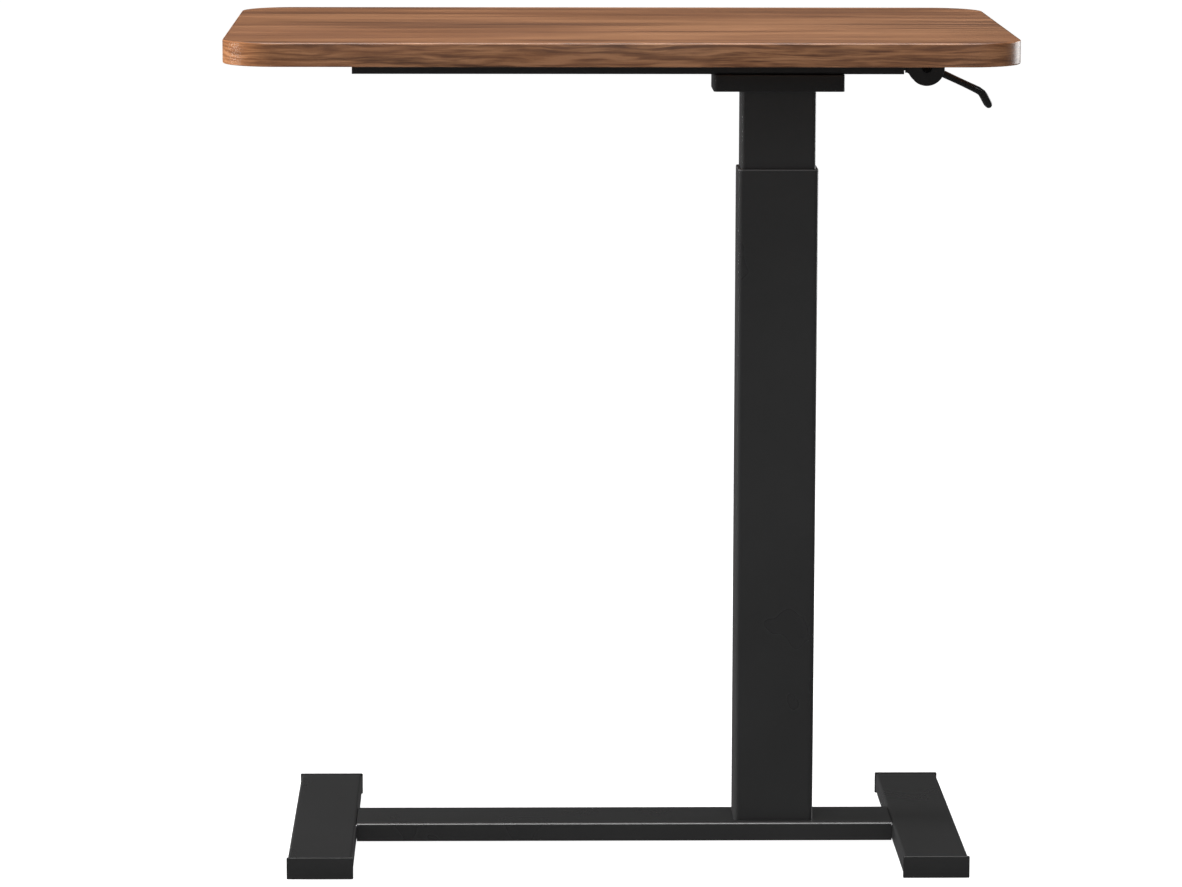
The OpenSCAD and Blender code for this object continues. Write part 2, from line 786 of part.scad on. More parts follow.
module housing_screws() {
    color(zinc) housing_screw_places()
        screw_up(0, 0, desktop_z - housing_plate_t, screw_head_r, screw_head_h,
                 screw_r, housing_plate_t + screw_bite);
}

desktop();
channel();
channel_end_cap();
desktop_screws();
mounting_plate();
mounting_bolts();
mounting_nuts();
inner_column();
lower_glide();
upper_glide();
outer_column();
column_base_plate();
column_bolts();
crossbar();
left_joiner();
right_joiner();
joiner_bolts();
joiner_nuts();
left_foot();
right_foot();
left_front_cap();
left_rear_cap();
right_front_cap();
right_rear_cap();
foot_pads();
gas_spring_cylinder();
gas_spring_end_plug();
gas_spring_nut();
gas_spring_gland();
gas_spring_rod();
gas_spring_piston();
rod_lock_nut();
release_head();
release_pin();
rocker_pin();
rocker();
rocker_link_pin();
push_link();
lever_link_pin();
lever();
lever_pivot_screw();
lever_spring();
lever_housing();
housing_screws();
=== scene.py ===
"""Looks of the gas-spring standing desk.

Blender's objects are in metres, in the CAD's frame. The mesh functions work in millimetres, and
new_piece turns them into metres.
"""

import json
import math

import bpy
from mathutils import Matrix, Vector

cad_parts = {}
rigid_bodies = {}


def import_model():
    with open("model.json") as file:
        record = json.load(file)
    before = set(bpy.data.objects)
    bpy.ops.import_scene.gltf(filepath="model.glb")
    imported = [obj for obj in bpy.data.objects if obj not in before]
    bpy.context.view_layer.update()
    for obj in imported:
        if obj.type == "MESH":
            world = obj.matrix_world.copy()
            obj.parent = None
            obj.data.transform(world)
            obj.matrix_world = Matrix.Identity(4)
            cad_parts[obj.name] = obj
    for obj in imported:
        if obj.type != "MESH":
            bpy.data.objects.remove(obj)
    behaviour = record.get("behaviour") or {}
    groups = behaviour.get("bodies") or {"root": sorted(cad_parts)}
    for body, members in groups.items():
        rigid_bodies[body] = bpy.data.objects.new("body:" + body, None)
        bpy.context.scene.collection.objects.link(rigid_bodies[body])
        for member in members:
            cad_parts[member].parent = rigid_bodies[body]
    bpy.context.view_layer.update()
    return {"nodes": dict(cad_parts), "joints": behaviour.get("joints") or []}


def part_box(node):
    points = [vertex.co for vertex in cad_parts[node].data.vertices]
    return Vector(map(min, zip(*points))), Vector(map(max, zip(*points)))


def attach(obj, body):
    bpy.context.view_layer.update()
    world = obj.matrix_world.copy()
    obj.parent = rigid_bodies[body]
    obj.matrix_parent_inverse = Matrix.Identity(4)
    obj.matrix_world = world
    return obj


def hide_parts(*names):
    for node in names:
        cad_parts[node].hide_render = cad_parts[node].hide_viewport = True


for default in list(bpy.data.objects):
    bpy.data.objects.remove(default)
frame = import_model()

MM = 0.001
TAU = 2 * math.pi


def box_mm(node_name):
    """A CAD node's lowest and highest corners at rest, in mm."""
    return [[round(c / MM, 3) for c in corner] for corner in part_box(node_name)]


def middle_mm(node_name, axis):
    low, high = box_mm(node_name)
    return (low[axis] + high[axis]) / 2


# Places on the object
COLUMN_X = middle_mm("outer_column", 0)
LEVER_JOINT = next(joint for joint in frame["joints"] if joint["name"] == "lever_swing")
PIVOT_X, _, PIVOT_Z = (round(c / MM, 3) for c in LEVER_JOINT["pos_m"])
DESK_LOW, DESK_HIGH = box_mm("desktop")
DESK_Z0, DESK_Z1 = DESK_LOW[2], DESK_HIGH[2]
DESK_CORNER = 55.0
LEFT_FOOT_FACE = box_mm("left_foot")[1][0]
RIGHT_FOOT_FACE = box_mm("right_foot")[0][0]
FOOT_UNDERSIDE = box_mm("left_foot")[0][2]
CROSSBAR_UNDERSIDE = box_mm("crossbar")[0][2]
INNER_COLUMN_TOP = box_mm("inner_column")[1][2]
PAD_Y = 165.0
# The joiners' bolts, from a foot's inner face and from the desk's middle line
JOINER_BOLT_X, JOINER_BOLT_Y = 28.0, 15.5
# Thicknesses of the channel's flanges and of the lever housing's plate
CHANNEL_FLANGE = 2.0
HOUSING_PLATE = 3.0

# Wood tones, each with its place on the ramp from dark to light
WOOD_TONES = (
    (0.30, (0.066, 0.027, 0.012)),
    (0.42, (0.118, 0.050, 0.022)),
    (0.52, (0.178, 0.078, 0.034)),
    (0.66, (0.262, 0.124, 0.058)),
)
WOOD_RED = (0.215, 0.082, 0.031)
PORE_BROWN = (0.030, 0.012, 0.007)
# Shares of the wide bands, the streaks and the fine fibres in the wood's tone
BAND_SHARE, STREAK_SHARE, FIBRE_SHARE = 0.36, 0.46, 0.18
# How far the tone is stretched about its middle
GRAIN_CONTRAST = 2.3

# Emission of the floor, and strength of the white world
FLOOR_GLOW = 1.0
WORLD_LIGHT = 0.06


# ---- Shader nodes ----

def new_material(name, **sockets):
    """A material with one Principled shader, whose plain values are given by socket name."""
    material = bpy.data.materials.new(name)
    material.use_nodes = True
    tree = material.node_tree
    tree.nodes.clear()
    shader = tree.nodes.new("ShaderNodeBsdfPrincipled")
    output = tree.nodes.new("ShaderNodeOutputMaterial")
    tree.links.new(shader.outputs["BSDF"], output.inputs["Surface"])
    for socket, value in sockets.items():
        shader.inputs[socket.replace("_", " ")].default_value = value
    return material, tree, shader


def node(tree, kind, inputs=None, **settings):
    """Adds a shader node. An input's value is a number, a tuple or another node's output."""
    made = tree.nodes.new("ShaderNode" + kind)
    for key, value in settings.items():
        setattr(made, key, value)
    for key, value in (inputs or {}).items():
        if isinstance(value, bpy.types.NodeSocket):
            tree.links.new(value, made.inputs[key])
        else:
            made.inputs[key].default_value = value
    return made


def noise(tree, vector, stretch, detail=3.0, roughness=0.5, distortion=0.0, shift=(0, 0, 0)):
    """Noise with its own scale along each axis, in waves per metre."""
    place = node(tree, "Mapping", {"Vector": vector, "Scale": stretch, "Location": shift})
    texture = node(tree, "TexNoise", {
        "Vector": place.outputs[0], "Scale": 1.0, "Detail": detail,
        "Roughness": roughness, "Distortion": distortion})
    return texture.outputs["Fac"]


def ramp(tree, factor, stops):
    """A colour ramp with stops of (place, (red, green, blue))."""
    made = node(tree, "ValToRGB", {"Fac": factor})
    elements = made.color_ramp.elements
    while len(elements) < len(stops):
        elements.new(0.5)
    for element, (place, color) in zip(elements, stops):
        element.position = place
        element.color = (*color, 1.0)
    return made.outputs["Color"]


def remap(tree, value, low, high, to_low, to_high):
    return node(tree, "MapRange", {
        "Value": value, "From Min": low, "From Max": high,
        "To Min": to_low, "To Max": to_high}).outputs["Result"]


def math_node(tree, operation, a, b):
    return node(tree, "Math", {0: a, 1: b}, operation=operation).outputs[0]


def mix(tree, factor, a, b):
    """Mixes two colours. In the Mix node, colours are inputs 6 and 7 and output 2."""
    return node(tree, "Mix", {0: factor, 6: a, 7: b}, data_type="RGBA").outputs[2]


def bump(tree, shader, height, distance, strength):
    """Relief on a shader; its distance is in metres."""
    made = node(tree, "Bump", {"Height": height, "Distance": distance, "Strength": strength})
    feed(tree, made.outputs["Normal"], shader, "Normal")


def vary_roughness(tree, shader, value, middle, spread):
    """Roughness from middle - spread to middle + spread, following a noise."""
    rough = remap(tree, value, 0.3, 0.7, middle - spread, middle + spread)
    feed(tree, rough, shader, "Roughness")


def feed(tree, output, shader, socket):
    tree.links.new(output, shader.inputs[socket])


def object_coords(tree):
    return node(tree, "TexCoord").outputs["Object"]


# ---- Materials ----

def walnut(name, coords_of, along, across, flame, shade=1.0):
    """Walnut-print laminate. along and across scale the grain, flame bends it, and shade scales its
    colours: the edge band's copy is darkened with it, partly as painted shade, and the eased edge's
    copy is lighter than the band as a painted highlight."""
    material, tree, shader = new_material(name, Roughness=0.36, IOR=1.5, Specular_IOR_Level=0.3,
                                          Coat_Weight=0.06, Coat_Roughness=0.2)
    coords = coords_of(tree)
    bend = noise(tree, coords, (1.5 * along, 6 * across, 9), 2.0)
    bent = node(tree, "CombineXYZ", {
        "X": 0.0, "Y": remap(tree, bend, 0.3, 0.7, -0.006 * flame, 0.006 * flame), "Z": 0.0})
    grain = node(tree, "VectorMath", {0: coords, 1: bent.outputs[0]}, operation="ADD").outputs[0]
    bands = noise(tree, grain, (2.6 * along, 20 * across, 1), 3.0, 0.5, 0.4)
    streaks = noise(tree, grain, (2.4 * along, 40 * across, 1), 4.0, 0.6, 0.5, (3.1, 1.7, 0))
    fibres = noise(tree, grain, (5 * along, 520, 1), 4.0, 0.65, 0.0, (7.3, 5.9, 0))
    tone = math_node(tree, "MULTIPLY", bands, BAND_SHARE)
    tone = math_node(tree, "ADD", tone, math_node(tree, "MULTIPLY", streaks, STREAK_SHARE))
    tone = math_node(tree, "ADD", tone, math_node(tree, "MULTIPLY", fibres, FIBRE_SHARE))
    tone = remap(tree, tone, 0.5 - 0.5 / GRAIN_CONTRAST, 0.5 + 0.5 / GRAIN_CONTRAST, 0.0, 1.0)
    color = ramp(tree, tone, [(place, tuple(channel * shade for channel in wood))
                              for place, wood in WOOD_TONES])
    hue = noise(tree, coords, (0.9 * along, 6 * across, 1), 2.0, 0.5, 0.0, (1.9, 8.2, 0))
    red = (*(channel * shade for channel in WOOD_RED), 1.0)
    color = mix(tree, remap(tree, hue, 0.35, 0.65, 0.0, 0.35), color, red)
    pores = noise(tree, grain, (38 * along, 1500 * across, 1), 2.0, 0.5, 0.0, (2.3, 4.1, 0))
    pore_mask = remap(tree, pores, 0.60, 0.70, 0.0, 0.55)
    color = mix(tree, pore_mask, color, (*PORE_BROWN, 1.0))
    feed(tree, color, shader, "Base Color")
    gloss = noise(tree, coords, (6, 6, 6), 2.0)
    vary_roughness(tree, shader, gloss, 0.36, 0.05)
    height = math_node(tree, "SUBTRACT", math_node(tree, "MULTIPLY", fibres, 0.5), pore_mask)
    bump(tree, shader, height, 0.00003, 0.6)
    return material


def band_coords(tree):
    """Coordinates that run round the edge band, from the desktop's own UV map."""
    return node(tree, "UVMap", uv_map="band").outputs["UV"]


def powder_coat(name, tone, roughness, grain=1.0):
    """Baked powder paint: orange-peel relief, and a faint cloudiness in its sheen."""
    material, tree, shader = new_material(name, IOR=1.45, Specular_IOR_Level=0.5)
    coords = object_coords(tree)
    cloud = noise(tree, coords, (7, 7, 7), 3.0)
    color = mix(tree, cloud, (tone * 0.86, tone * 0.86, tone * 0.87, 1),
                (tone * 1.14, tone * 1.14, tone * 1.16, 1))
    specks = noise(tree, coords, (2600, 2600, 2600), 1.0)
    color = mix(tree, remap(tree, specks, 0.68, 0.76, 0.0, 0.35), color,
                (tone * 2.4, tone * 2.4, tone * 2.4, 1))
    feed(tree, color, shader, "Base Color")
    vary_roughness(tree, shader, cloud, roughness, 0.03)
    peel = noise(tree, coords, (750, 750, 750), 2.0, 0.55)
    fine = noise(tree, coords, (2300, 2300, 2300), 2.0, 0.6)
    height = math_node(tree, "ADD", peel, math_node(tree, "MULTIPLY", fine, 0.35))
    bump(tree, shader, height, 0.00007 * grain, 0.55)
    return material


def moulded(name, tone, roughness, relief):
    """Moulded black plastic with a spark-eroded texture."""
    material, tree, shader = new_material(name, IOR=1.46, Specular_IOR_Level=0.42)
    coords = object_coords(tree)
    cloud = noise(tree, coords, (24, 24, 24), 3.0)
    feed(tree, mix(tree, cloud, (tone * 0.85, tone * 0.85, tone * 0.86, 1),
                   (tone * 1.15, tone * 1.15, tone * 1.17, 1)), shader, "Base Color")
    spark = noise(tree, coords, (1500, 1500, 1500), 3.0, 0.6)
    vary_roughness(tree, shader, spark, roughness, 0.05)
    bump(tree, shader, spark, relief, 0.6)
    return material


def steel(name, color, roughness, streak, blotch):
    """Bare or plated steel: faint blotches of plating and fine tool marks."""
    material, tree, shader = new_material(name, Metallic=1.0)
    coords = object_coords(tree)
    cloud = noise(tree, coords, (60, 60, 60), 3.0)
    light = tuple(min(1.0, c * (1 + blotch)) for c in color)
    dark = tuple(c * (1 - blotch) for c in color)
    feed(tree, mix(tree, cloud, (*dark, 1), (*light, 1)), shader, "Base Color")
    marks = noise(tree, coords, streak, 2.0, 0.6)
    vary_roughness(tree, shader, marks, roughness, 0.06)
    bump(tree, shader, marks, 0.00001, 0.5)
    return material


def rubber(name):
    """Dull black rubber with a little dust."""
    material, tree, shader = new_material(name, IOR=1.5, Specular_IOR_Level=0.3)
    coords = object_coords(tree)
    dust = noise(tree, coords, (90, 90, 90), 4.0, 0.6)
    feed(tree, mix(tree, remap(tree, dust, 0.5, 0.8, 0.0, 0.5), (0.016, 0.016, 0.016, 1),
                   (0.05, 0.05, 0.048, 1)), shader, "Base Color")
    grain = noise(tree, coords, (1700, 1700, 1700), 3.0)
    vary_roughness(tree, shader, grain, 0.80, 0.06)
    bump(tree, shader, grain, 0.00004, 0.5)
    return material


TOP_WOOD = walnut("walnut_top", object_coords, 1.0, 1.0, 0.5)
# The edge band's colours are scaled to 0.54 of the top's: partly the band's own darker tone, partly
# painted shade on the board's sides
BAND_WOOD = walnut("walnut_edge_band_painted_shade", band_coords, 6.0, 9.0, 0.45, 0.54)
# The upper eased edge gets a lighter copy of the band's walnut: a painted highlight along the edge
HIGHLIGHT_EDGE_WOOD = walnut("walnut_edge_painted_highlight", band_coords, 6.0, 9.0, 0.45, 0.8)
BLACK_STEEL = powder_coat("black_powder_coat", 0.0122, 0.29)
# A darker copy of the black coat for the parts under the desktop: its lower tone is painted shade
SHADED_STEEL = powder_coat("black_powder_coat_painted_shade", 0.0075, 0.30)
# The weld's coat has the same darker tone as the plate's, painted shade under the mounting plate
WELD_STEEL = powder_coat("weld_coat_painted_shade", 0.0075, 0.30, 1.6)
GAS_PAINT = powder_coat("cylinder_paint", 0.006, 0.28, 0.3)
CAP_PLASTIC = moulded("cap_plastic", 0.009, 0.46, 0.00005)
HOUSING_PLASTIC = moulded("housing_plastic", 0.008, 0.42, 0.00005)
GLIDE_PLASTIC = moulded("glide_plastic", 0.040, 0.34, 0.00001)
LEVER_PLASTIC = moulded("lever_plastic", 0.008, 0.2, 0.000006)
ZINC = steel("zinc_plate", (0.60, 0.605, 0.62), 0.30, (900, 900, 900), 0.10)
SPRING_WIRE = steel("spring_wire", (0.36, 0.355, 0.35), 0.32, (300, 2500, 300), 0.12)
CHROME = steel("rod_chrome", (0.72, 0.72, 0.74), 0.12, (2400, 2400, 60), 0.03)
BLACK_OXIDE = steel("black_oxide", (0.035, 0.035, 0.037), 0.38, (900, 900, 900), 0.15)
PAD_RUBBER = rubber("pad_rubber")


# ---- Meshes ----

def new_piece(name, shells, body, materials, stands_for=(), sharp=35):
    """One object from shells, each (points in mm, faces) and, if it has several materials, the
    faces' material indices. Edges that turn by more than sharp degrees stay sharp."""
    points, faces, indices = [], [], []
    for shell in shells:
        base = len(points)
        points += [Vector(p) * MM for p in shell[0]]
        faces += [tuple(base + i for i in face) for face in shell[1]]
        indices += shell[2] if len(shell) > 2 else [0] * len(shell[1])
    mesh = bpy.data.meshes.new(name)
    mesh.from_pydata(points, [], faces)
    for polygon, index in zip(mesh.polygons, indices):
        polygon.material_index = index
        polygon.use_smooth = True
    for material in materials:
        mesh.materials.append(material)
    mesh.update()
    mark_sharp_edges(mesh, math.radians(sharp))
    piece = bpy.data.objects.new(name, mesh)
    bpy.context.scene.collection.objects.link(piece)
    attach(piece, body)
    if stands_for:
        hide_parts(*stands_for)
    return piece


def mark_sharp_edges(mesh, limit):
    """Marks the edges whose faces turn by more than the limit, so smooth shading stops there."""
    normals = {}
    for polygon in mesh.polygons:
        for key in polygon.edge_keys:
            normals.setdefault(key, []).append(polygon.normal)
    for edge in mesh.edges:
        sides = normals.get(edge.key, [])
        edge.use_edge_sharp = len(sides) != 2 or sides[0].angle(sides[1], 0) > limit


def placed(shell, matrix):
    points, faces = shell
    return [matrix @ Vector(p) for p in points], faces


def flipped(shell):
    """The same shell with its faces turned over."""
    points, faces = shell
    return points, [tuple(reversed(face)) for face in faces]


def rings_shell(rings, closed=False):
    """Joins rings of equally many points into one shell, with flat ends or closed on itself."""
    count = len(rings[0])
    points = [p for ring in rings for p in ring]
    faces = []
    last = len(rings) if closed else len(rings) - 1
    for i in range(last):
        a, b = i * count, (i + 1) % len(rings) * count
        for k in range(count):
            n = (k + 1) % count
            faces.append((a + k, a + n, b + n, b + k))
    if not closed:
        faces.append(tuple(reversed(range(count))))
        faces.append(tuple(range((len(rings) - 1) * count, len(rings) * count)))
    return points, faces


def rounded_rect(width, depth, radius, steps=10):
    """Points of a rounded rectangle, anticlockwise, about its middle."""
    points = []
    for quarter, (sx, sy) in enumerate([(1, 1), (-1, 1), (-1, -1), (1, -1)]):
        cx, cy = sx * (width / 2 - radius), sy * (depth / 2 - radius)
        for i in range(steps + 1):
            a = (quarter + i / steps) * TAU / 4
            points.append((cx + radius * math.cos(a), cy + radius * math.sin(a)))
    return points


def edge_arc(radius, steps=4):
    """(inset, height) pairs from a flat face over a rounded edge to the side."""
    angles = [i / steps * TAU / 4 for i in range(steps + 1)]
    return [(radius * (1 - math.sin(a)), radius * (1 - math.cos(a))) for a in angles]


def eased_levels(height, edge, steps):
    """(inset, height) pairs up a side whose lower and upper edges are both rounded."""
    arc = edge_arc(edge, steps)
    return arc + [(inset, height - up) for inset, up in reversed(arc)]


def block(width, depth, corner, height, edge, steps=10, edge_steps=4):
    """A rounded-rectangle block on z = 0, with all its edges eased."""
    rings = [[(x, y, z) for x, y in rounded_rect(width - 2 * inset, depth - 2 * inset,
                                                 max(corner - inset, 0.2), steps)]
             for inset, z in eased_levels(height, edge, edge_steps)]
    return rings_shell(rings)


def outline_plate(outline, thickness, edge, edge_steps=3):
    """A plate with an outline in XZ and its thickness along Y from 0, with eased edges."""
    count = len(outline)
    normals = []
    for i in range(count):
        before, after = Vector(outline[i - 1]), Vector(outline[(i + 1) % count])
        run = (after - before).normalized()
        normals.append(Vector((-run.y, run.x)))
    rings = []
    for inset, y in eased_levels(thickness, edge, edge_steps):
        rings.append([(x + normal.x * inset, y, z + normal.y * inset)
                      for (x, z), normal in zip(outline, normals)])
    return flipped(rings_shell(rings))


def hex_radius(angle, across_flats):
    """The radius of a hexagon at an angle."""
    turn = (angle + TAU / 12) % (TAU / 6) - TAU / 12
    return across_flats / 2 / math.cos(turn)


def cross_radius(angle, reach, half_width):
    """The radius of a cross at an angle: its arms' reach and half their width."""
    c, s = abs(math.cos(angle)) + 1e-9, abs(math.sin(angle)) + 1e-9
    return max(min(reach / c, half_width / s), min(half_width / c, reach / s))


def radial_ring(radius_of, z, steps=48):
    """A ring about Z whose radius is a function of the angle."""
    ring = []
    for i in range(steps):
        a = TAU * i / steps
        radius = radius_of(a)
        ring.append((radius * math.cos(a), radius * math.sin(a), z))
    return ring


def turned(profile, recess=None, recess_depth=0.0, steps=48):
    """A turned piece about Z. The profile runs from its upper face's rim outwards and down; recess
    is the radius of a driver's hole at an angle, and the hole tapers a little."""
    rings = []
    top = profile[0][1]
    if recess:
        rings.append(radial_ring(lambda a: recess(a) * 0.92, top - recess_depth, steps))
        rings.append(radial_ring(recess, top, steps))
    for radius, z in profile:
        rings.append(radial_ring(lambda a, r=radius: r, z, steps))
    return flipped(rings_shell(rings))


def hex_nut(across_flats, height, bore):
    """A hexagon nut on z = 0 with chamfered corners and a threaded bore of that radius."""
    chamfer_levels = [0.0, 0.35, 0.7, 1.1]
    face_share, chamfer_slope = 0.475, 1.8
    thread_turns, thread_depth, mouth = 6, 0.3, 0.5

    def chamfered(up):
        cone = across_flats * face_share + chamfer_slope * up
        return lambda a: min(hex_radius(a, across_flats), cone)

    rings = [radial_ring(chamfered(up), up) for up in chamfer_levels]
    rings += [radial_ring(chamfered(up), height - up) for up in reversed(chamfer_levels)]
    rings.append(radial_ring(lambda a: bore + mouth, height))
    for i in range(thread_turns * 2 + 1):
        z = height - mouth - (height - 2 * mouth) * i / (thread_turns * 2)
        radius = bore + (0.0 if i % 2 else thread_depth)
        rings.append(radial_ring(lambda a, r=radius: r, z))
    rings.append(radial_ring(lambda a: bore + mouth, 0.0))
    return rings_shell(rings, closed=True)


def at(x, y, z):
    return Matrix.Translation((x, y, z))


FACING_DOWN = Matrix.Rotation(math.pi, 4, "X")
FACING_FRONT = Matrix.Rotation(math.pi / 2, 4, "X")


# ---- Desktop: a board with its laminate and a glued edge band ----

def desktop_board():
    """The board, with a fine groove where the band's edge meets the laminate."""
    width, depth = DESK_HIGH[0] - DESK_LOW[0], DESK_HIGH[1] - DESK_LOW[1]
    corner, corner_steps = DESK_CORNER, 24
    arc = edge_arc(1.5, 5)
    # inset and depth of the groove
    seam = [(2.1, 0.0), (2.02, 0.12), (1.94, 0.12), (1.86, 0.0)]
    levels = [(inset, DESK_Z0 + up) for inset, up in seam]
    levels += [(inset, DESK_Z0 + up) for inset, up in arc]
    levels += [(inset, DESK_Z1 - up) for inset, up in reversed(arc)]
    levels += [(inset, DESK_Z1 - up) for inset, up in reversed(seam)]
    rings = [[(x, y, z) for x, y in rounded_rect(width - 2 * inset, depth - 2 * inset,
                                                 corner - inset, corner_steps)]
             for inset, z in levels]
    points, faces = rings_shell(rings)
    count = len(rings[0])
    seam_rings = len(seam)
    on_band = range(seam_rings - 1, len(levels) - seam_rings)
    on_upper_edge = range(seam_rings + len(arc), seam_rings + 2 * len(arc) - 1)
    wood, band, highlight_edge = range(3)
    materials = []
    for index in range(len(faces)):
        level = index // count
        # The upper rounded edge takes the painted highlight
        if level in on_upper_edge:
            materials.append(highlight_edge)
        elif level in on_band:
            materials.append(band)
        else:
            materials.append(wood)
    board = new_piece("desktop_board", [(points, faces, materials)], "top_frame",
                      [TOP_WOOD, BAND_WOOD, HIGHLIGHT_EDGE_WOOD], ("desktop",))
    add_band_uv(board, width, depth, corner)


def add_band_uv(board, width, depth, corner):
    """A UV map that runs round the edge band: metres along it, and metres up it."""
    mesh = board.data
    layer = mesh.uv_layers.new(name="band")
    straight_x, straight_y, turn = width - 2 * corner, depth - 2 * corner, corner * TAU / 4
    length = 2 * (straight_x + straight_y) + 4 * turn

    def along(x, y):
        cx, cy = width / 2 - corner, depth / 2 - corner
        if abs(x) <= cx:
            return cx + x if y < 0 else straight_x + 2 * turn + straight_y + (cx - x)
        if abs(y) <= cy:
            if x > 0:
                return straight_x + turn + (cy + y)
            return 2 * straight_x + 3 * turn + straight_y + (cy - y)
        angle = math.atan2(abs(y) - cy, abs(x) - cx) * corner
        if y < 0:
            return straight_x + turn - angle if x > 0 else length - turn + angle
        if x > 0:
            return straight_x + turn + straight_y + angle
        return 2 * straight_x + 3 * turn + straight_y - angle

    for polygon in mesh.polygons:
        # The half turn puts the band's joint at the back
        runs = [(along(*(mesh.vertices[v].co.xy / MM)) + length / 2) % length
                for v in polygon.vertices]
        wraps = max(runs) - min(runs) > length / 2
        for loop, run, v in zip(polygon.loop_indices, runs, polygon.vertices):
            if wraps and run < length / 2:
                run += length
            layer.data[loop].uv = (run * MM, mesh.vertices[v].co.z)


# ---- Top frame ----

def mounting_plate():
    """A pressed plate: rounded shoulders, a folded skirt, and the inside of the fold."""
    low, high = box_mm("mounting_plate")
    width, depth = high[0] - low[0], high[1] - low[1]
    z0, z1 = low[2], high[2]
    wall, corner, lip = 3.0, 4.0, 0.5
    levels = [(wall, z1 - wall), (wall, z0 + lip), (wall - lip, z0)]
    levels += [(inset, z0 + up) for inset, up in edge_arc(0.8, 3)]
    levels += [(inset, z1 - up) for inset, up in reversed(edge_arc(1.6, 5))]
    rings = []
    for inset, z in levels:
        outline = rounded_rect(width - 2 * inset, depth - 2 * inset, max(corner - inset, 0.8), 8)
        rings.append([(COLUMN_X + x, y, z) for x, y in outline])
    # The plate takes the darker coat, painted shade under the desktop
    new_piece("pressed_mounting_plate", [rings_shell(rings)], "top_frame", [SHADED_STEEL],
              ("mounting_plate",))


def mounting_weld():
    """The fillet weld between the inner column and the plate's underside, with its ripples."""
    low, high = box_mm("inner_column")
    corner, ripple_step = 4.0, 1.1
    path = rounded_rect(high[0] - low[0], high[1] - low[1], corner, 14)
    dense = []
    for i, p in enumerate(path):
        q = path[(i + 1) % len(path)]
        parts = max(1, round(math.dist(p, q) / ripple_step))
        dense += [(p[0] + (q[0] - p[0]) * k / parts, p[1] + (q[1] - p[1]) * k / parts)
                  for k in range(parts)]
    rings = []
    count = len(dense)
    for i, p in enumerate(dense):
        run = (Vector(dense[(i + 1) % count]) - Vector(dense[i - 1])).normalized()
        out = Vector((run.y, -run.x))
        leg = 2.6 + 0.35 * math.sin(i * 2.1) + 0.15 * math.sin(i * 0.37)
        # (out from the column's wall, up from its top), sunk a little into both parts
        section = [(-0.4, 0.3), (leg, 0.3), (leg * 0.62, -leg * 0.30),
                   (leg * 0.32, -leg * 0.62), (-0.4, -leg)]
        rings.append([(COLUMN_X + p[0] + out.x * reach, p[1] + out.y * reach,
                       INNER_COLUMN_TOP + rise) for reach, rise in section])
    # The weld takes the darker coat, painted shade under the plate
    new_piece("mounting_weld", [rings_shell(rings, closed=True)], "top_frame", [WELD_STEEL],
              (), 60)


def pan_screw(head_r, head_h, shank_r, shank_len):
    """A pan-head wood screw that points up: its head's outer face, with a cross recess, is on
    z = 0."""
    thread_pitch, tip_length = 1.4, 3.0
    profile = [(head_r * 0.62, 0.0), (head_r * 0.84, -0.25), (head_r * 0.97, -0.75), (head_r, -1.3),
               (head_r, -head_h), (shank_r * 1.05, -head_h - 0.2)]
    z = -head_h - 0.2
    while z > -head_h - shank_len + tip_length:
        profile += [(shank_r * 0.78, z - 0.5), (shank_r, z - 0.95),
                    (shank_r * 0.78, z - thread_pitch)]
        z -= thread_pitch
    profile += [(shank_r * 0.5, z - 1.0), (0.15, -head_h - shank_len)]
    shell = turned(profile, lambda a: cross_radius(a, head_r * 0.5, head_r * 0.13), 1.5, 32)
    return placed(shell, FACING_DOWN)


def socket_screw(head_r, head_h, shank_r, shank_len, key):
    """A socket-head screw that points up: its head's outer face is on z = 0."""
    thread_pitch, root_drop = 1.25, 0.62
    profile = [(head_r * 0.86, 0.0), (head_r * 0.97, -0.3), (head_r, -0.9), (head_r, -head_h + 0.2),
               (head_r - 0.3, -head_h), (shank_r, -head_h - 0.1)]
    z = -head_h - 1.0
    while z > -head_h - shank_len + 1.6:
        profile += [(shank_r, z), (shank_r * 0.88, z - root_drop)]
        z -= thread_pitch
    profile += [(shank_r * 0.7, -head_h - shank_len)]
    shell = turned(profile, lambda a: hex_radius(a, key), head_h * 0.6)
    return placed(shell, FACING_DOWN)


def group(name, node_name, body, shell, places, material):
    """Equal solids, such as the screws of one kind, as one piece."""
    shells = [placed(shell, at(*place)) for place in places]
    new_piece(name, shells, body, [material], (node_name,))


def zinc_group(name, node_name, body, shell, places):
    group(name, node_name, body, shell, places, ZINC)


def four(x, dx, dy, z):
    """The corners of a rectangle about (x, 0), at height z."""
    return [(x + sx * dx, sy * dy, z) for sx in (-1, 1) for sy in (-1, 1)]


# ---- Lever and its housing ----

def arc_points(radius, start, end, steps):
    """Points of an arc about the origin, between two angles in degrees."""
    angles = [math.radians(start + (end - start) * i / steps) for i in range(steps + 1)]
    return [(radius * math.cos(a), radius * math.sin(a)) for a in angles]


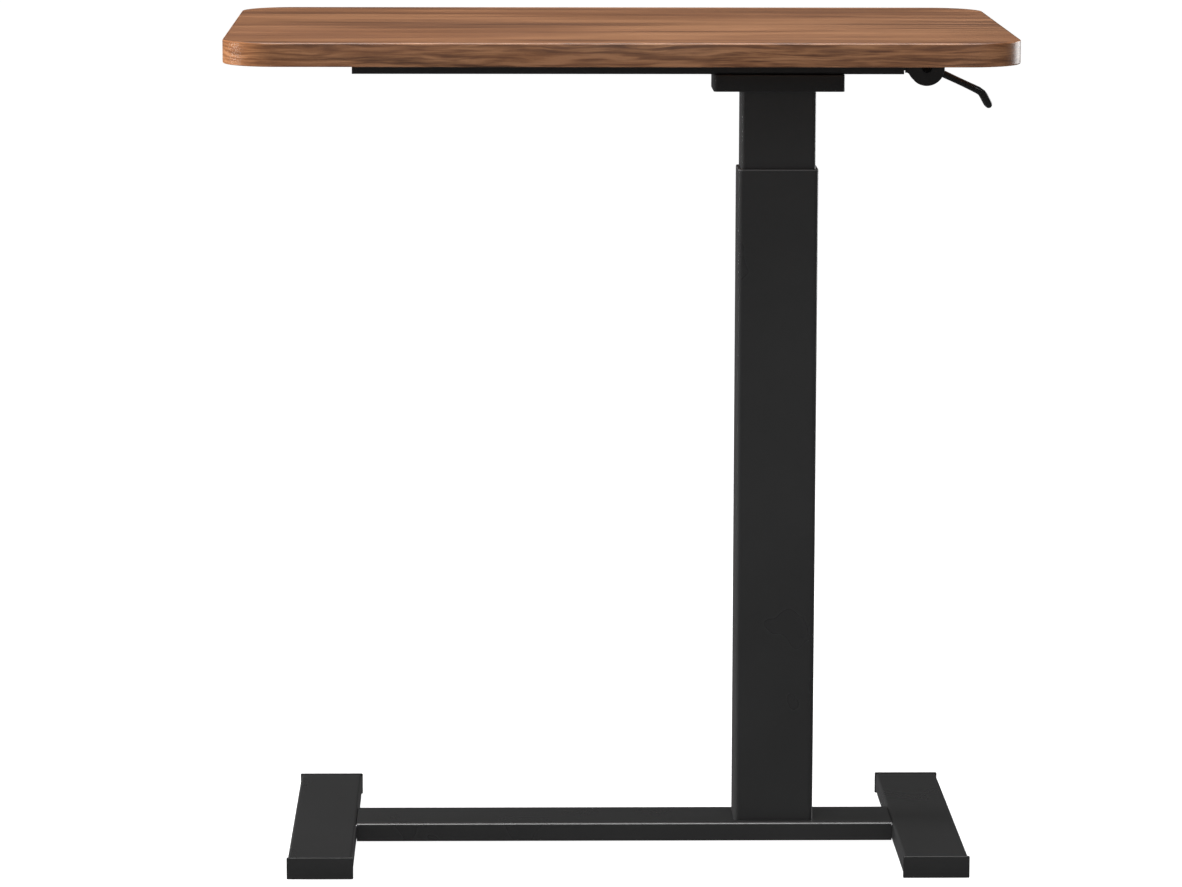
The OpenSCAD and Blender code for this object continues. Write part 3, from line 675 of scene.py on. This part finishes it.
def housing():
    """Two cheeks with a flared shoulder, the plate that screws to the desktop, and a rib across
    the cheeks. The cheek's outline is about the pivot."""
    radius, back, top = 18.6, -22.6, DESK_Z0 - PIVOT_Z
    outline = [(radius, top), (radius, top / 2)]
    outline += arc_points(radius, 0, -134, 40)
    outline += [(-14.6, -11.0), (-16.0, -8.9), (-17.3, -7.1), (-18.7, -5.8), (-20.4, -5.0)]
    outline += [(back, -4.7), (back, top / 2), (back, top)]
    cheek = outline_plate(list(reversed(outline)), 2.5, 0.5)
    shells = [placed(cheek, at(PIVOT_X, y, PIVOT_Z)) for y in (-17.0, 14.5)]
    plate = block(41.2, 60.0, 4.0, HOUSING_PLATE, 0.4, 6, 3)
    shells.append(placed(plate, at(PIVOT_X - 2.0, 0, DESK_Z0 - HOUSING_PLATE)))
    rib = block(2.4, 29.4, 0.6, 12.0, 0.3, 3, 2)
    shells.append(placed(rib, at(PIVOT_X - 21.0, 0, DESK_Z0 - 14.6)))
    new_piece("lever_housing_shell", shells, "top_frame", [HOUSING_PLASTIC],
              ("lever_housing",))


def hub_outline(cut_z):
    """The hub's disc with its link ear; what is above cut_z is left out."""
    ear_x, ear_z, ear_r, hub_r = 1.53, 10.89, 4.0, 12.5
    points = []
    for i in range(96):
        a = TAU * i / 96
        c, s = math.cos(a), math.sin(a)
        reach = ear_x * c + ear_z * s
        inside = ear_r ** 2 - (ear_x ** 2 + ear_z ** 2) + reach ** 2
        r = max(hub_r, reach + math.sqrt(inside)) if inside > 0 and reach > 0 else hub_r
        points.append((r * c, min(r * s, cut_z)))
    return points


def lever():
    """The hub with its link slot, and a flat arm that curls down at its end."""
    side = outline_plate(hub_outline(math.inf), 6.5, 0.5)
    web = outline_plate(hub_outline(5.6), 3.4, 0.05)
    shells = [placed(side, at(PIVOT_X, -8.0, PIVOT_Z)), placed(side, at(PIVOT_X, 1.5, PIVOT_Z)),
              placed(web, at(PIVOT_X, -1.7, PIVOT_Z))]
    # The arm's middle line, x and z from the pivot, then half its thickness and half its width
    spine = [
        (7.5, -2.0, 3.0, 11.4), (12.0, -4.2, 3.5, 11.9), (17.0, -6.5, 3.6, 12.0),
        (24.0, -9.7, 3.5, 12.0), (32.0, -13.4, 3.4, 11.9), (40.0, -17.1, 3.4, 11.8),
        (47.0, -20.4, 3.5, 11.8), (52.0, -22.8, 3.6, 11.9), (56.0, -24.8, 3.8, 12.0),
        (59.3, -27.4, 4.0, 12.0),
        (61.6, -30.8, 4.1, 12.0), (63.4, -34.2, 4.1, 11.9), (65.0, -37.2, 4.1, 11.6),
        (66.0, -39.0, 3.9, 11.1), (66.7, -40.3, 3.4, 10.3), (67.3, -41.3, 2.5, 8.9),
        (67.7, -42.0, 1.2, 7.2)]
    # Powers below 1 square off the arm's oval section
    steps, side_power, face_power = 40, 0.34, 0.62
    rings = []
    for i, (x, z, half_t, half_w) in enumerate(spine):
        before, after = spine[max(i - 1, 0)], spine[min(i + 1, len(spine) - 1)]
        run = Vector((after[0] - before[0], after[1] - before[1])).normalized()
        up = Vector((-run.y, run.x))
        ring = []
        for k in range(steps):
            a = TAU * k / steps
            c, s = math.cos(a), math.sin(a)
            across = half_w * math.copysign(abs(c) ** side_power, c)
            lift = half_t * math.copysign(abs(s) ** face_power, s)
            ring.append((PIVOT_X + x + up.x * lift, across, PIVOT_Z + z + up.y * lift))
        rings.append(ring)
    shells.append(rings_shell(rings))
    new_piece("release_lever", shells, "lever", [LEVER_PLASTIC], ("lever",), 50)


def pivot_screw():
    """A low-head screw that is the lever's axle, threaded into the rear cheek at its end."""
    shank_r, root_r, thread_pitch = 3.0, 2.65, 0.8
    z, thread_end = -35.0, -37.4
    profile = [(3.3, 0.0), (4.3, -0.35), (4.85, -1.0), (5.0, -1.7), (5.0, -2.2), (4.8, -2.4)]
    profile += [(shank_r, -2.5), (shank_r, z)]
    while z > thread_end:
        profile += [(root_r, z - thread_pitch / 2), (shank_r, z - thread_pitch)]
        z -= thread_pitch
    profile += [(2.2, -37.9)]
    shell = turned(profile, lambda a: hex_radius(a, 3.4), 1.5)
    head_y = box_mm("lever_pivot_screw")[0][1]
    new_piece("pivot_screw", [placed(shell, at(PIVOT_X, head_y, PIVOT_Z) @ FACING_FRONT)],
              "top_frame", [BLACK_OXIDE], ("lever_pivot_screw",))


def torsion_spring():
    """A round wire: one leg on the arm, the coil, and one leg up to the housing's plate. The coil
    runs from start to end, in degrees."""
    coil_r, wire_r, pitch, first_y = 6.3, 0.6, 1.25, 8.85
    start, end = 62.0, 1440.0
    path_steps, sides = 150, 12

    def coil(a):
        t = math.radians(a)
        y = first_y + (a - start) / 360 * pitch
        return Vector((coil_r * math.cos(t), y, coil_r * math.sin(t)))

    def run(a):
        t = math.radians(a)
        return Vector((-math.sin(t), 0, math.cos(t)))

    path = [coil(start) - 11 * run(start), coil(start) - 5 * run(start)]
    path += [coil(start + (end - start) * i / path_steps) for i in range(path_steps + 1)]
    path += [coil(end) + 8 * run(end), coil(end) + 15.5 * run(end)]
    pivot = Vector((PIVOT_X, 0, PIVOT_Z))
    rings = []
    for i, p in enumerate(path):
        along = (path[min(i + 1, len(path) - 1)] - path[max(i - 1, 0)]).normalized()
        side = Vector((0, 1, 0)).cross(along).normalized()
        up = along.cross(side)
        angles = [TAU * k / sides for k in range(sides)]
        rings.append([p + wire_r * (math.cos(a) * side + math.sin(a) * up) + pivot
                      for a in angles])
    new_piece("torsion_spring", [rings_shell(rings)], "lever", [SPRING_WIRE],
              ("lever_spring",), 60)


# ---- Base ----

def foot_cap(side, end):
    """A cap with a rounded face, a step down to the tube, and a hollow plug inside it."""
    node_name = f"{side}_{end}_cap"
    low, high = box_mm(node_name)
    width, height = high[0] - low[0], high[2] - low[2]
    cx, cz = (low[0] + high[0]) / 2, (low[2] + high[2]) / 2
    front = end == "front"
    face_y = low[1] if front else high[1]
    inward = 1 if front else -1
    corner, thick, eased = 1.0, 2.7, 0.25
    # insets of the plug's outside and inside, and how deep it reaches
    plug_out, plug_in, plug_end = 3.2, 5.2, 16.6
    levels = edge_arc(0.6, 5)
    levels += [(0.0, thick - eased), (eased, thick), (plug_out, thick), (plug_out, plug_end),
               (plug_in, plug_end), (plug_in, thick)]
    rings = []
    for inset, along in levels:
        outline = rounded_rect(width - 2 * inset, height - 2 * inset, max(corner - inset, 0.4), 8)
        rings.append([(cx + x, face_y + inward * along, cz + z) for x, z in outline])
    shell = rings_shell(rings)
    new_piece(f"{side}_{end}_end_cap", [flipped(shell) if front else shell], "base",
              [CAP_PLASTIC], (node_name,))


def foot_pads():
    """Round rubber pads with two grooves in their soles and a stem in the foot."""
    sole = [(2.0, 0.0), (4.4, 0.0), (4.8, -0.55), (5.4, -0.55), (5.8, 0.0), (7.2, 0.0),
            (7.6, -0.55), (8.2, -0.55), (8.6, 0.0), (9.6, 0.0)]
    profile = sole + [(10.6, -0.3), (11.0, -0.9), (11.0, -3.4), (10.6, -3.95),
                      (3.0, -4.0), (3.0, -6.8), (2.6, -7.0)]
    pad = placed(turned(profile), FACING_DOWN)
    places = [(middle_mm(foot, 0), y, 0.0)
              for foot in ("left_foot", "right_foot") for y in (-PAD_Y, PAD_Y)]
    group("rubber_pads", "foot_pads", "base", pad, places, PAD_RUBBER)


desktop_board()
mounting_plate()
mounting_weld()
housing()
lever()
pivot_screw()
torsion_spring()

# Wood screws: head radius and height, shank radius and length
WOOD_SCREW_HEAD = (4.2, 2.6)
desk_screw = pan_screw(*WOOD_SCREW_HEAD, 2.1, 16.0)
zinc_group("desktop_wood_screws", "desktop_screws", "top_frame", desk_screw,
           [(x, y, DESK_Z0 - CHANNEL_FLANGE - WOOD_SCREW_HEAD[1])
            for x in (-245, -95, 60, 265) for y in (-39.5, 39.5)])
housing_screw = pan_screw(*WOOD_SCREW_HEAD, 2.1, 17.0)
zinc_group("housing_wood_screws", "housing_screws", "top_frame", housing_screw,
           four(PIVOT_X - 2, 13, 23.5, DESK_Z0 - HOUSING_PLATE - WOOD_SCREW_HEAD[1]))

# The joiners' bolts: in each foot their heads bear 0.4 mm lower than in the crossbar
BOLT_HEAD = 2.8
JOINER_NUT_Z = box_mm("joiner_nuts")[0][2]
joiner_bolt_places = []
joiner_nut_places = []
for inner_face, outward in ((LEFT_FOOT_FACE, -1), (RIGHT_FOOT_FACE, 1)):
    for sx in (-1, 1):
        underside = FOOT_UNDERSIDE if sx == outward else CROSSBAR_UNDERSIDE
        for y in (-JOINER_BOLT_Y, JOINER_BOLT_Y):
            x = inner_face + sx * JOINER_BOLT_X
            joiner_bolt_places.append((x, y, underside - BOLT_HEAD))
            joiner_nut_places.append((x, y, JOINER_NUT_Z))
zinc_group("joiner_button_bolts", "joiner_bolts", "base",
           socket_screw(5.5, BOLT_HEAD, 2.95, 11.0, 4.0), joiner_bolt_places)
zinc_group("joiner_hex_nuts", "joiner_nuts", "base", hex_nut(10.0, 5.0, 2.97), joiner_nut_places)

# The undersides of the bolt heads and of the spring's nut, below the column's base plate
BASE_PLATE_HEADS = box_mm("column_bolts")[0][2]
zinc_group("column_socket_bolts", "column_bolts", "base",
           socket_screw(6.5, 8.0, 3.95, 9.0, 6.0), four(COLUMN_X, 28, 15, BASE_PLATE_HEADS))
zinc_group("spring_stud_nut", "gas_spring_nut", "base", hex_nut(17.0, 8.0, 4.97),
           [(COLUMN_X, 0, BASE_PLATE_HEADS)])
zinc_group("plate_hex_nuts", "mounting_nuts", "top_frame", hex_nut(13.0, 6.5, 3.97),
           four(COLUMN_X, 52, 18, box_mm("mounting_nuts")[0][2]))
zinc_group("rod_hex_nut", "rod_lock_nut", "top_frame", hex_nut(17.0, 6.0, 5.02),
           [(COLUMN_X, 0, box_mm("rod_lock_nut")[0][2])])
plate_bolt = placed(socket_screw(7.0, 4.4, 3.95, 13.4, 5.0), FACING_DOWN)
zinc_group("plate_button_bolts", "mounting_bolts", "top_frame", plate_bolt,
           four(COLUMN_X, 52, 18, box_mm("mounting_bolts")[1][2]))
foot_pads()
for side in ("left", "right"):
    for end in ("front", "rear"):
        foot_cap(side, end)

# Materials of the CAD nodes whose own shape is kept. The channel gets the darker coat, whose lower
# tone is painted shade under the desktop
LOOKS = {
    "channel": SHADED_STEEL, "inner_column": BLACK_STEEL, "outer_column": BLACK_STEEL,
    "column_base_plate": BLACK_STEEL, "crossbar": BLACK_STEEL, "left_foot": BLACK_STEEL,
    "right_foot": BLACK_STEEL, "channel_end_cap": CAP_PLASTIC, "upper_glide": GLIDE_PLASTIC,
    "lower_glide": GLIDE_PLASTIC, "gas_spring_cylinder": GAS_PAINT, "gas_spring_end_plug": ZINC,
    "gas_spring_gland": ZINC, "gas_spring_rod": CHROME, "gas_spring_piston": ZINC,
    "release_head": ZINC, "release_pin": CHROME, "rocker_pin": ZINC, "rocker": ZINC,
    "rocker_link_pin": ZINC, "push_link": ZINC, "lever_link_pin": ZINC, "left_joiner": ZINC,
    "right_joiner": ZINC,
}
for node_name, look in LOOKS.items():
    for slot in frame["nodes"][node_name].material_slots:
        slot.material = look


# ---- Studio ----

def studio():
    """A white floor that glows evenly, and a dim white world."""
    material, tree, shader = new_material("studio_floor", Roughness=0.9, Specular_IOR_Level=0.1)
    shade = noise(tree, object_coords(tree), (3, 3, 3), 2.0)
    feed(tree, mix(tree, shade, (0.24, 0.24, 0.24, 1), (0.25, 0.25, 0.25, 1)), shader, "Base Color")
    shader.inputs["Emission Color"].default_value = (1, 1, 1, 1)
    shader.inputs["Emission Strength"].default_value = FLOOR_GLOW
    mesh = bpy.data.meshes.new("studio_floor")
    reach = 26.0
    corners = [(sx * reach, sy * reach, 0) for sx, sy in ((-1, -1), (1, -1), (1, 1), (-1, 1))]
    mesh.from_pydata(corners, [], [(0, 1, 2, 3)])
    mesh.materials.append(material)
    floor = bpy.data.objects.new("studio_floor", mesh)
    bpy.context.scene.collection.objects.link(floor)
    floor.visible_glossy = False

    world = bpy.data.worlds.new("studio")
    bpy.context.scene.world = world
    world.use_nodes = True
    background = world.node_tree.nodes["Background"]
    background.inputs["Color"].default_value = (1, 1, 1, 1)
    background.inputs["Strength"].default_value = WORLD_LIGHT


def softbox(name, place, target, size, power, diffuse=True, glossy=True):
    """An area light that the camera doesn't see. diffuse and glossy say whether it lights matt
    surfaces and whether it shows in reflections."""
    light = bpy.data.lights.new(name, "AREA")
    light.shape = "RECTANGLE"
    light.size, light.size_y = size
    light.energy = power
    lamp = bpy.data.objects.new(name, light)
    lamp.location = place
    lamp.visible_camera = False
    lamp.visible_diffuse = diffuse
    lamp.visible_glossy = glossy
    lamp.rotation_euler = (Vector(target) - Vector(place)).to_track_quat("-Z", "Y").to_euler()
    bpy.context.scene.collection.objects.link(lamp)


studio()
softbox("overhead_softbox", (-0.15, -0.6, 2.9), (-0.15, -0.6, 0.4), (3.2, 4.0), 160)
softbox("front_softbox", (-0.6, -3.9, 2.2), (0, 0, 0.4), (3.0, 1.6), 125, glossy=False)
softbox("left_fill", (-3.0, 0.2, 0.7), (-0.35, -0.2, 0.7), (1.4, 1.2), 430, glossy=False)
softbox("right_rim_softbox", (2.9, 2.3, 1.0), (0.3, 0, 0.7), (1.8, 1.8), 60)
softbox("edge_panel", (0.0, -1.65, 2.6), (0, 0, 0.4), (3.0, 1.5), 160, diffuse=False)


# ---- Camera ----

def camera(place, yaw, pitch, roll, lens):
    """A camera at place. Its angles are in degrees: yaw from +Y, pitch down, and roll."""
    data = bpy.data.cameras.new("camera")
    data.sensor_width = 36.0
    data.lens = lens
    data.clip_end = 60.0
    holder = bpy.data.objects.new("camera", data)
    yaw, pitch, roll = (math.radians(a) for a in (yaw, pitch, roll))
    right = Vector((math.cos(yaw), math.sin(yaw), 0))
    ahead = Vector((-math.sin(yaw), math.cos(yaw), 0))
    up = Vector((0, 0, 1))
    look = ahead * math.cos(pitch) - up * math.sin(pitch)
    lift = up * math.cos(pitch) + ahead * math.sin(pitch)
    side = right * math.cos(roll) + lift * math.sin(roll)
    head = lift * math.cos(roll) - right * math.sin(roll)
    turn = Matrix((side, head, -look)).transposed().to_4x4()
    holder.matrix_world = Matrix.Translation(place) @ turn
    bpy.context.scene.collection.objects.link(holder)
    bpy.context.scene.camera = holder


camera((-0.1297, -5.1184, 1.2492), yaw=-1.157, pitch=9.134, roll=0.142, lens=149.67)
view = bpy.context.scene.view_settings
view.view_transform = "Standard"
view.look = "None"
